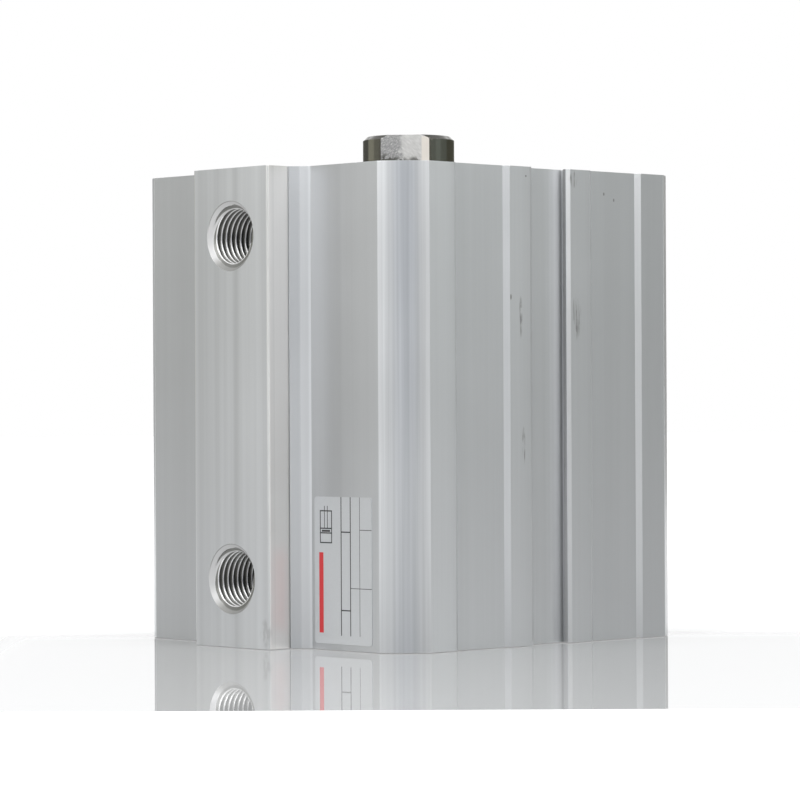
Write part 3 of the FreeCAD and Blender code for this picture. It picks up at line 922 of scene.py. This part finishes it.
# a painted highlight on the crests
crest_highlight_grey = grey(0.80)
countersink = grey(0.54)
dark_fleck = grey(0.02)
# each pair is where a mask starts and where it is full
crest_reach = (0.25 * MM, 0.07 * MM)
cone_reach = (0.10 * MM, 0.05 * MM)
rim_reach = (0.20 * MM, 0.06 * MM)
under_rim = (0.0, 0.5)
at_foot = (-0.55, -0.90)
fleck_levels = (0.3, 0.7)
fleck_strength = 0.3
# how dark the painted shade in the countersink grows
shade_strength = 0.75


def sink_colour(tree, up, radius, mouth):
    """The colour of the countersink, with painted shade at its foot and under its upper rim."""
    start, full = rim_reach
    rim = product(tree, ramp(tree, radius, mouth - start, mouth - full), ramp(tree, up, *under_rim))
    shaded_places = any_of(tree, rim, ramp(tree, up, *at_foot))
    return mix(tree, product(tree, shaded_places, shade_strength), countersink, thread_shade_grey)


def flank_colour(tree, fleck):
    """The colour of the flanks: painted shade, with dark flecks of grain."""
    return mix(tree, ramp(tree, fleck, *fleck_levels, 0.0, fleck_strength), thread_shade_grey, dark_fleck)


print("thread colours ready")

# %% [markdown]
# The same finish serves three threads, the ports, the corner holes and the rod end. Each has its own radius
# at the tip of the ridge and at the mouth, so these are given to the function that makes the finish.

# %% Finish of a cut thread
thread_tips = {"port": 5.7225 * MM, "bolt": 4.25 * MM, "rod": 4.25 * MM}
thread_mouths = {"port": 7.3385 * MM, "bolt": 4.98 * MM, "rod": 5.78 * MM}


def cut_thread(name, tip, mouth):
    """Bare metal of a cut thread: crests near the tip's radius with a painted highlight, flanks with painted
    shade, and a cone at the mouth.
    """
    finish, tree, shader = new_finish(name, {})
    fleck = use_group(tree, grain, Size=0.15 * MM)["Fleck"]
    spot = xyz(tree, own_place(tree))
    radius = vector_length(tree, own_place(tree, flattened))
    up = reckon(tree, "DIVIDE", spot["Y"], radius)
    off_cone = reckon(tree, "SUBTRACT", reckon(tree, "SUBTRACT", radius, spot["Z"]), mouth)
    cone = ramp(tree, reckon(tree, "ABSOLUTE", off_cone), *cone_reach)
    crest = ramp(tree, radius, *(tip + reach for reach in crest_reach))
    metal = mix(tree, crest, flank_colour(tree, fleck), crest_highlight_grey)
    sink = sink_colour(tree, up, radius, mouth)
    feed(tree, shader.inputs["Base Color"], mix(tree, cone, metal, sink))
    feed(tree, shader.inputs["Metallic"], by_mask(tree, any_of(tree, crest, cone), 0.25, 0.35))
    feed(tree, shader.inputs["Roughness"], by_mask(tree, cone, swing(tree, fleck, 0.10, 0.32), 0.55))
    return finish


thread_finishes = {}
for kind, tip in thread_tips.items():
    thread_finishes[kind] = cut_thread(kind + "_thread", tip, thread_mouths[kind])
print("thread finishes:", sorted(thread_finishes))

# %% [markdown]
# ### Rod
#
# The rod is ground and polished, so it mirrors the room in narrow upright bands and looks dark beside the
# satin body. Its two wrench flats are milled and have been gripped, so they are dull, scratched and stained
# near the shoulder. The flats are found by the direction they face, which saves marking faces by hand.

# %% Where the flats are
flat_turn = math.radians(41)
flat_direction = (math.sin(flat_turn), -math.cos(flat_turn), 0)
flat_across = (math.cos(flat_turn), math.sin(flat_turn), 0)
flat_floor = 102.4 * MM
floor_margin = 0.01 * MM
flat_facing = (0.990, 0.997)


def on_flats(tree):
    """1 on the two wrench flats."""
    facing = reckon(tree, "ABSOLUTE", along_direction(tree, own_normal(tree), flat_direction))
    height = along_direction(tree, own_place(tree), up_axis)
    above = reckon(tree, "GREATER_THAN", height, flat_floor - floor_margin)
    return product(tree, ramp(tree, facing, *flat_facing), above)


print("flats face", [round(c, 3) for c in flat_direction])

# %% [markdown]
# Spanners leave short strokes that slant both ways, a rough patch where the jaw has slipped, and a bright
# edge at the side. A photograph of worn steel would be the usual way. Noise that is stretched along each
# slant gives the strokes without one, and each patch wanders with a coarser noise so that its outline is
# ragged.

# %% Strokes and places of the wear
grip_reach = (3.2 * MM, 1.4 * MM)
grip_levels = (0.66, 0.46)
grip_wander = 6 * MM
stain_reach = (102.4 * MM, 100.6 * MM)
stain_levels = (0.64, 0.42)
stain_wander = -5 * MM
stain_tilt = 0.12
edge_reach = (3.4 * MM, 3.8 * MM)
top_reach = (108.7 * MM, 108.3 * MM)


def strokes(tree, thin_way, thickness, long_way, length):
    """Noise in strokes: thin one way and long the other."""
    inputs = {"X": product(tree, thin_way, 1 / thickness), "Y": product(tree, long_way, 1 / length)}
    return noise(tree, place(tree, "CombineXYZ", inputs).outputs[0], 1.0, 3.0)


def gripped_patch(tree, across, blots, scratches):
    """1 where the jaw has slipped."""
    wandering = reckon(tree, "MULTIPLY_ADD", blots, grip_wander, across)
    return product(tree, ramp(tree, wandering, *grip_reach), ramp(tree, scratches, *grip_levels))


def stained_foot(tree, across, height, blots, specks):
    """1 in the stains at the shoulder."""
    level = reckon(tree, "MULTIPLY_ADD", blots, stain_wander, height)
    level = reckon(tree, "MULTIPLY_ADD", across, stain_tilt, level)
    return product(tree, ramp(tree, level, *stain_reach), ramp(tree, specks, *stain_levels))


print("wear of the flats ready")

# %% [markdown]
# The colours of the wear are laid over each other in the order in which they came: milled and scratched
# steel, the gripped patch, the stains, and the edge that is still rubbed bright each time.

# %% Wear of the flats
worn_steel = (0.57, 0.565, 0.55, 1)
gripped_steel = (0.25, 0.25, 0.25, 1)
stain = (0.07, 0.07, 0.06, 1)
rubbed_steel = (0.70, 0.66, 0.60, 1)


def flat_wear(tree):
    """The colour of the flats and the strokes on them."""
    spot = own_place(tree)
    across = along_direction(tree, spot, flat_across)
    height = along_direction(tree, spot, up_axis)
    rising = reckon(tree, "ADD", across, height)
    falling = reckon(tree, "SUBTRACT", across, height)
    hatch = strokes(tree, rising, 0.22 * MM, falling, 1.6 * MM)
    scratches = strokes(tree, falling, 0.16 * MM, rising, 0.9 * MM)
    blots = noise(tree, spot, 1.6 * MM, 5.0)
    specks = noise(tree, spot, 0.8 * MM)
    metal = tinted(tree, worn_steel, swing(tree, hatch, 0.9, 0.95))
    metal = mix(tree, gripped_patch(tree, across, blots, scratches), metal, gripped_steel)
    metal = mix(tree, stained_foot(tree, across, height, blots, specks), metal, stain)
    rubbed = product(tree, ramp(tree, across, *edge_reach), ramp(tree, height, *top_reach))
    return mix(tree, rubbed, metal, rubbed_steel), hatch


print("flat wear ready")

# %% [markdown]
# The bar itself needs little: a dark steel, fully metallic and smooth, with grinding rings too fine to see
# one by one. The chamfer at its end is painted darker, as a painted dark reflection. On the flats, the wear
# takes over in colour, gloss and bump.

# %% Polished rod with worn flats
rod_grey = (0.42, 0.41, 0.375, 1)
# a painted dark reflection on the chamfer at the rod end
chamfer_dark_reflection = (0.10, 0.098, 0.09, 1)
chamfer_start = (0.3, 0.6)
chamfer_end = (0.97, 0.85)
flat_metallic = 0.45
flat_roughness = 0.45
grinding_depth = 2e-6


def polished_rod():
    """Ground steel bar with worn flats."""
    finish, tree, shader = new_finish("polished_rod", {})
    flats = on_flats(tree)
    wear, hatch = flat_wear(tree)
    rings = use_group(tree, turning_marks, Spacing=0.12 * MM)["Ring"]
    upwards = along_direction(tree, own_normal(tree), up_axis)
    chamfer = product(tree, ramp(tree, upwards, *chamfer_start), ramp(tree, upwards, *chamfer_end))
    ground = mix(tree, chamfer, tinted(tree, rod_grey, swing(tree, rings, 0.2)), chamfer_dark_reflection)
    feed(tree, shader.inputs["Base Color"], mix(tree, flats, ground, wear))
    feed(tree, shader.inputs["Metallic"], by_mask(tree, flats, 1.0, flat_metallic))
    polish = swing(tree, rings, 0.05, 0.15)
    feed(tree, shader.inputs["Roughness"], by_mask(tree, flats, polish, flat_roughness))
    edges = use_group(tree, soft_edge, Radius=0.12 * MM)
    rough_normal(tree, shader, mix(tree, flats, rings, hatch), grinding_depth, edges["Normal"])
    return finish


finishes["rod_steel"] = polished_rod()
print("finish", finishes["rod_steel"].name)

# %% [markdown]
# ### Rubber, plastic and phosphated steel
#
# These pieces are matt: seals, bumpers, the guide band, the magnet and the retaining rings. Their colour is
# nearly even, and the grain carries the look, as a fine bump and small changes of gloss. Plain materials
# would be enough from afar, but close up they look like clay.

# %% Grained finishes
def grained(name, colour, roughness, size, depth, metallic=0.0):
    """A matt finish with a fine grain."""
    finish, tree, shader = new_finish(name, {"Metallic": metallic})
    fleck = use_group(tree, grain, Size=size)["Fleck"]
    patch = use_group(tree, handling, Size=8 * MM)["Patch"]
    edges = use_group(tree, soft_edge, Radius=0.1 * MM)
    feed(tree, shader.inputs["Base Color"], tinted(tree, colour, swing(tree, fleck, 0.5)))
    feed(tree, shader.inputs["Roughness"], swing(tree, patch, 0.15, roughness))
    rough_normal(tree, shader, fleck, depth, edges["Normal"])
    return finish


amber = (0.12, 0.055, 0.022, 1)
finishes["spring_steel"] = grained("spring_steel", grey(0.055), 0.48, 0.12 * MM, 4e-6, 0.7)
finishes["black_rubber"] = grained("black_rubber", grey(0.016), 0.62, 0.15 * MM, 6e-6)
finishes["seal_rubber"] = grained("seal_rubber", grey(0.028, 0.1), 0.50, 0.25 * MM, 4e-6)
finishes["guide_plastic"] = grained("guide_plastic", amber, 0.55, 0.2 * MM, 5e-6)
finishes["magnet_ferrite"] = grained("magnet_ferrite", grey(0.03), 0.60, 0.1 * MM, 5e-6)
print("finishes so far:", len(finishes))

# %% [markdown]
# ### Label
#
# A silver foil label sits on the flat panel beside the ports. It carries a plain ruled table, the general
# drawing symbol of a cylinder and a red stripe. Ink could be thin raised mesh, but it has no height that
# shows, so it is drawn in the material, with one small group that marks a rectangle.

# %% Effect: a printed bar
bar_sides = ("Left", "Right", "Bottom", "Top")
printed_bar, given, result = new_group("printed_bar", dict.fromkeys(bar_sides, 0.0), {"Ink": "Float"})
spot = xyz(printed_bar, own_place(printed_bar))
inside = [
    reckon(printed_bar, "GREATER_THAN", spot["X"], given["Left"]),
    reckon(printed_bar, "LESS_THAN", spot["X"], given["Right"]),
    reckon(printed_bar, "GREATER_THAN", spot["Z"], given["Bottom"]),
    reckon(printed_bar, "LESS_THAN", spot["Z"], given["Top"]),
]
feed(printed_bar, result["Ink"], product(printed_bar, *inside))


def bar_ink(tree, bar):
    """1 inside a bar, given by its left, right, bottom and top in millimetres."""
    sides = {side: place_mm * MM for side, place_mm in zip(bar_sides, bar)}
    return use_group(tree, printed_bar, **sides)["Ink"]


print("group", printed_bar.name)

# %% [markdown]
# The table has three upright rules and a few cross rules between them, drawn bold on the left and thin on
# the right. All bars are measured in millimetres of the body's frame, because the label lies on the body
# and shares its origin. An unwrapped layout would have to be scaled to the label first.

# %% Rule the table
label_low, label_high = (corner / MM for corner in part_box("rating_label"))
rule = 0.25
thin_rule = 0.13
columns = (24.25, 27.03, 29.82)
table_foot = label_low.z + 1.8


def upright_rule(x, width=rule):
    """A line along the label's height: left, right, bottom, top."""
    return (x - width / 2, x + width / 2, table_foot, label_high.z)


def cross_rule(left, right, z, width=rule):
    """A line across a column."""
    return (left, right, z - width / 2, z + width / 2)


table = [
    upright_rule(columns[0]),
    upright_rule(columns[1]),
    upright_rule(columns[2], thin_rule),
    cross_rule(columns[0], columns[1], 24.3),
    cross_rule(columns[0], columns[1], 8.2),
    cross_rule(columns[1], label_high.x, 12.8, thin_rule),
    cross_rule(columns[2], label_high.x, 24.8, thin_rule),
]
print("rules:", len(table))

# %% [markdown]
# The symbol is the one that fluid power drawings use for a cylinder: a barrel as a box, a piston across it
# with its magnet, and a rod as two lines that leave the box. Below it stands the stripe.

# %% Draw the symbol and the stripe
left, right, bottom, top = 17.8, 21.5, 21.9, 28.7
piston_low = 23.9
piston_high = 24.85
rod_end = 29.6
symbol = [
    (left, right, bottom, bottom + rule),
    (left, right, top - rule, top),
    (left, left + rule, bottom, top),
    (right - rule, right, bottom, top),
    (left, right, piston_low, piston_low + rule),
    (left, right, piston_high, piston_high + rule),
    (18.4, 20.9, 24.25, 24.65),
    (19.1, 19.28, piston_high, rod_end),
    (20.0, 20.18, piston_high, rod_end),
]
stripe = (17.55, 18.85, 3.4, 20.0)
print("bars of the symbol:", len(symbol))

# %% [markdown]
# Foil is a thin film of metal under clear plastic: part metallic, with a faint grain. Ink covers the metal,
# so the printed places are not metallic at all, which keeps black and red deep from every side.

# %% Label finish
foil_grey = grey(0.58, 0.025)
black_ink = grey(0.02)
red_ink = (0.50, 0.025, 0.03, 1)
foil_metallic = 0.6


def label_foil():
    """Silver polyester foil with black rules and a red stripe."""
    finish, tree, shader = new_finish("label_foil", {})
    fleck = use_group(tree, grain, Size=0.4 * MM)["Fleck"]
    ink = any_of(tree, *[bar_ink(tree, bar) for bar in table + symbol])
    red = bar_ink(tree, stripe)
    foil = tinted(tree, foil_grey, swing(tree, fleck, 0.08))
    inked = mix(tree, ink, foil, black_ink)
    feed(tree, shader.inputs["Base Color"], mix(tree, red, inked, red_ink))
    feed(tree, shader.inputs["Roughness"], swing(tree, fleck, 0.08, 0.42))
    feed(tree, shader.inputs["Metallic"], by_mask(tree, any_of(tree, ink, red), foil_metallic, 0.0))
    return finish


finishes["label_foil"] = label_foil()
print("finish", finishes["label_foil"].name)

# %% [markdown]
# ## Dress the solids
#
# Each solid gets the finish that its material has on the real cylinder. They could be picked one by one in
# the viewport, but the record says which finish each solid has, so one loop gives every piece its material.

# %% Give each solid its finish
for part in record["subparts"]:
    mesh = solids[part["node"]].data
    mesh.materials.clear()
    mesh.materials.append(finishes[part["material_slot"]])
print("dressed", len(record["subparts"]), "solids")

# %% [markdown]
# ## Screw threads
#
# The solids have plain bores at the threads' outer diameter. A cut thread is a ridge that winds inwards, so
# each bore gets a thin lining whose inside follows the ridge. A Screw modifier could wind a profile too,
# but here the rows of points climb with the helix and a cone at the mouth trims the first turns, as a
# countersink does.

# %% Rows of points that climb with the helix
Thread = namedtuple("Thread", "bore tip pitch length mouth")
run_in = 12
# pairs of a share of the pitch and how far the ridge has risen there
ridge = ((0.0, 0.0), (0.07, 0.04), (0.14, 0.17), (0.19, 0.30), (0.40, 0.82), (0.45, 0.94),
         (0.5, 1.0), (0.55, 0.94), (0.60, 0.82), (0.81, 0.30), (0.86, 0.17), (0.93, 0.04))


def ring(build, radius, depth, steps):
    """A ring of points around the hole's axis."""
    angles = [2 * math.pi * step / steps for step in range(steps + 1)]
    return [build.verts.new((radius * math.cos(a), radius * math.sin(a), -depth)) for a in angles]


def thread_row(build, share, rise, thread, steps):
    """A row of points that climbs one pitch in a turn, kept between the mouth and the end of the thread."""
    cone = thread.mouth - thread.bore
    row = []
    for step in range(steps + 1):
        depth = (share - step / steps) * thread.pitch
        radius = thread.bore - rise * (thread.bore - thread.tip) if depth < thread.length else thread.bore
        depth = min(max(depth, 0.0), thread.length)
        trimmed = thread.mouth - depth if depth < cone else thread.bore - run_in * (depth - cone)
        radius = max(radius, trimmed)
        angle = 2 * math.pi * step / steps
        row.append(build.verts.new((radius * math.cos(angle), radius * math.sin(angle), -depth)))
    return row


print("ridge of", len(ridge), "points")

# %% [markdown]
# Rows next to each other are joined by faces. The lining's outside lies hidden in the metal and closes it,
# so it is a solid piece and not a bare sheet. Rows that were trimmed to the same place leave doubles, which
# are merged at the end.

# %% Wind a lining
lining_wall = 0.3 * MM
hidden_lip = 0.1 * MM
merge_distance = 1e-7
crisp_angle = math.radians(40)


def lining_rows(build, thread, steps, start):
    """All rows of a lining: its hidden outside, then the ridge from the mouth to the end."""
    outside = ring(build, thread.bore + lining_wall, thread.length, steps)
    lip = ring(build, thread.mouth + lining_wall, hidden_lip, steps)
    rows = [ring(build, thread.bore, thread.length, steps), outside, lip]
    for turn in range(-1, math.ceil(thread.length / thread.pitch) + 2):
        rows += [thread_row(build, turn + start + share, rise, thread, steps) for share, rise in ridge]
    return rows


def lining_mesh(name, thread, steps, start):
    """A closed lining for a hole that opens upwards at z = 0."""
    build = bmesh.new()
    rows = lining_rows(build, thread, steps, start)
    for upper, lower in zip(rows, rows[1:]):
        for step in range(steps):
            build.faces.new((upper[step], lower[step], lower[step + 1], upper[step + 1]))
    bmesh.ops.remove_doubles(build, verts=build.verts, dist=merge_distance)
    bmesh.ops.dissolve_degenerate(build, edges=build.edges, dist=merge_distance)
    bmesh.ops.recalc_face_normals(build, faces=build.faces)
    for face in build.faces:
        face.smooth = True
    open_edges = sum(not edge.is_manifold for edge in build.edges)
    mesh = bpy.data.meshes.new(name)
    build.to_mesh(mesh)
    build.free()
    mesh.set_sharp_from_angle(angle=crisp_angle)
    print(name, len(mesh.polygons), "faces, open edges", open_edges)
    return mesh


print("lining wall", round(lining_wall / MM, 2), "mm")

# %% [markdown]
# Three linings are needed: a pipe thread for the ports, and a metric thread for the corner holes and, with
# a wider mouth, for the rod end. The bores come from the record's mounts, less a hair, so that each lining
# lies just in front of the bore's own wall. They could be modelled by hand, but then they would not follow
# the record. The ports are seen close up, so they get the most points in a turn.

# %% Make the three linings
lining_gap = 0.02 * MM
mounts = {mount["name"]: mount for mount in record["mounts"]}
bores = {
    "port": mounts["front_port"]["dims"]["r_mm"] * MM,
    "bolt": mounts["rear_bolts"]["dims"]["hole_r_mm"] * MM,
    "rod": mounts["rod_thread"]["dims"]["r_mm"] * MM,
}
windings = {
    # pitch and length in metres, points in a turn, share of a turn at which the ridge starts
    "port": (1.337 * MM, 11.95 * MM, 72, 0.03),
    "bolt": (1.5 * MM, 21.9 * MM, 36, 0.0),
    "rod": (1.5 * MM, 19.9 * MM, 40, 0.0),
}
linings = {}
for kind, (pitch, length, steps, start) in windings.items():
    thread = Thread(bores[kind] - lining_gap, thread_tips[kind], pitch, length, thread_mouths[kind])
    linings[kind] = lining_mesh(kind + "_thread", thread, steps, start)
    linings[kind].materials.append(thread_finishes[kind])
print("linings:", sorted(linings))

# %% [markdown]
# Equal threads share one mesh, as copies made with Alt D do. Each copy is turned so that its axis points
# out of its hole, put at the mouth of the hole, and tied to the body it belongs to, so that the rod's
# thread goes along when the rod moves.

# %% Put the threads in their holes
def put_thread(name, mesh, mouth, outward, body):
    """One lining in its hole."""
    piece = bpy.data.objects.new(name, mesh)
    scene.collection.objects.link(piece)
    turned = Vector(outward).to_track_quat("Z", "Y").to_matrix().to_4x4()
    piece.matrix_world = Matrix.Translation(mouth) @ turned
    bpy.context.view_layer.update()
    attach(piece, body)
    return piece


threads = []
port_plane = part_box("barrel")[0].y
for port in ("front_port", "rear_port"):
    mouth = Vector((0, port_plane, mounts[port]["pos_m"][2]))
    threads.append(put_thread(port + "_thread", linings["port"], mouth, (0, -1, 0), "cylinder"))
for end in ("rear_bolts", "front_bolts"):
    half = mounts[end]["dims"]["spacing_x_mm"] * MM / 2
    level = mounts[end]["pos_m"][2]
    for corner, (x, y) in enumerate(square, 1):
        mouth = Vector((x * half, y * half, level))
        threads.append(put_thread(f"{end}_thread_{corner}", linings["bolt"], mouth, mounts[end]["axis"],
                                  "cylinder"))
rod_top = Vector((0, 0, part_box("piston_rod")[1].z))
threads.append(put_thread("rod_end_thread", linings["rod"], rod_top, up_axis, "rod_and_piston"))
print("threads:", len(threads))

# %% [markdown]
# ## Sizes
#
# The solids keep the size they arrived with, since nothing here moves or resizes them.

# %% Finish
print("scene dressed")
